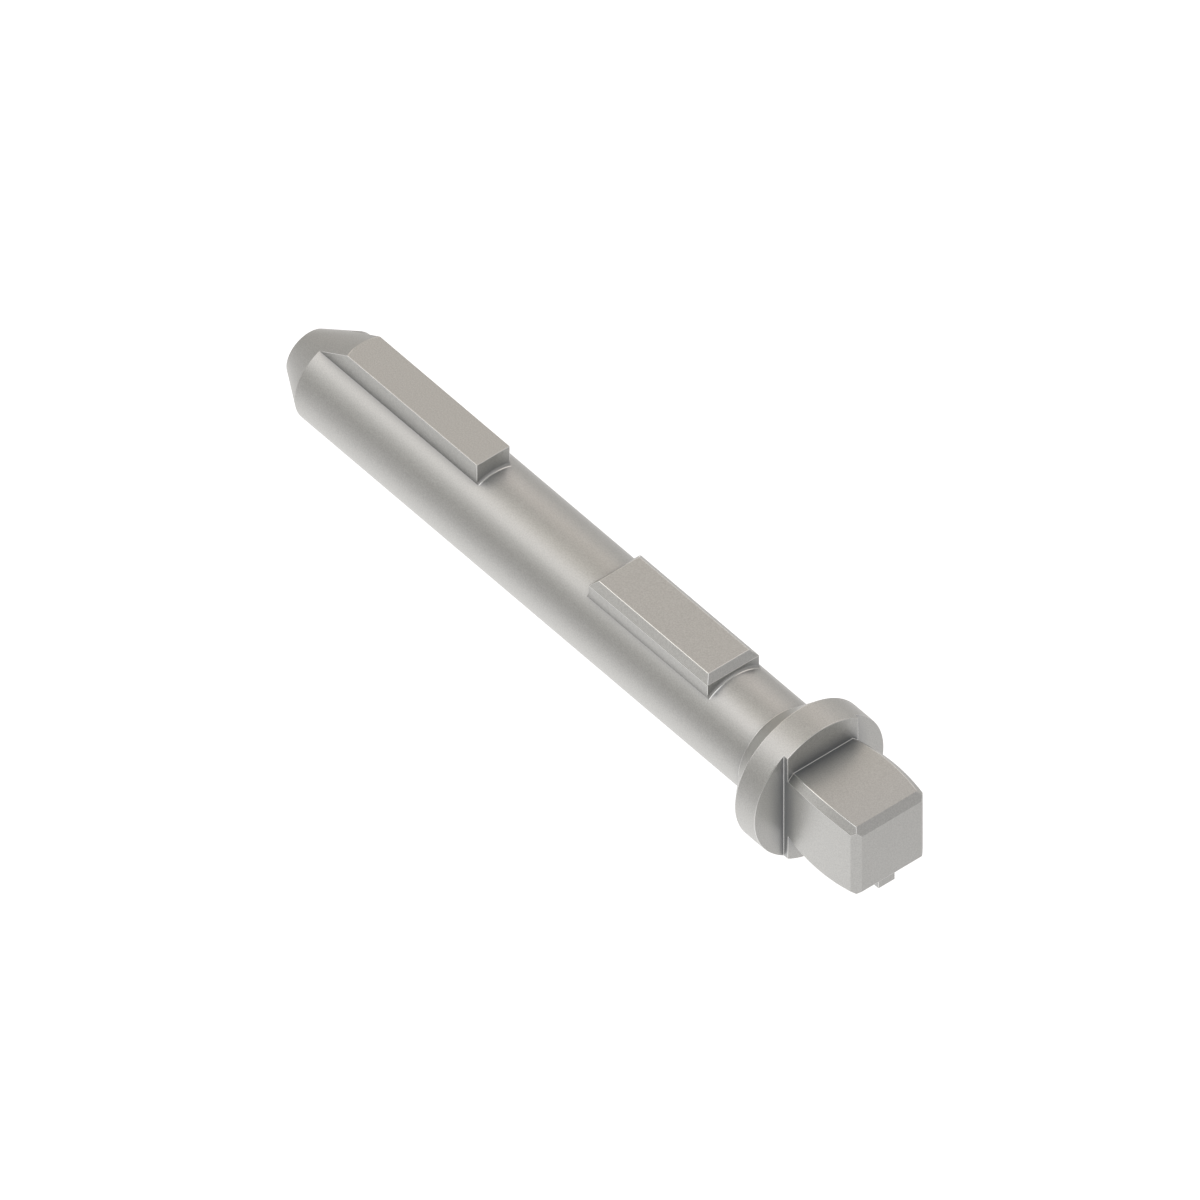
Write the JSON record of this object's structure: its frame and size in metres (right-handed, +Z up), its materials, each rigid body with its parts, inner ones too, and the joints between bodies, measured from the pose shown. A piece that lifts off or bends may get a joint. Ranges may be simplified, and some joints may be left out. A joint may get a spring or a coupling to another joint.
{
  "type": "sensor drive shaft",
  "caption": "Stepped metal drive shaft with a coned tip, keys along one side, a round flange with a raised band and a crowned square drive head.",
  "frame": {"origin": "on the shaft's axis, in the front face of the flange", "axes": "+X along the shaft's axis towards the drive head, +Z up through both keys"},
  "size_m": [0.0593, 0.011, 0.011],
  "materials": {
    "blasted_steel": "bead-blasted satin steel"
  },
  "bodies": {
    "root": {"drive_shaft": "blasted_steel"}
  },
  "joints": []
}
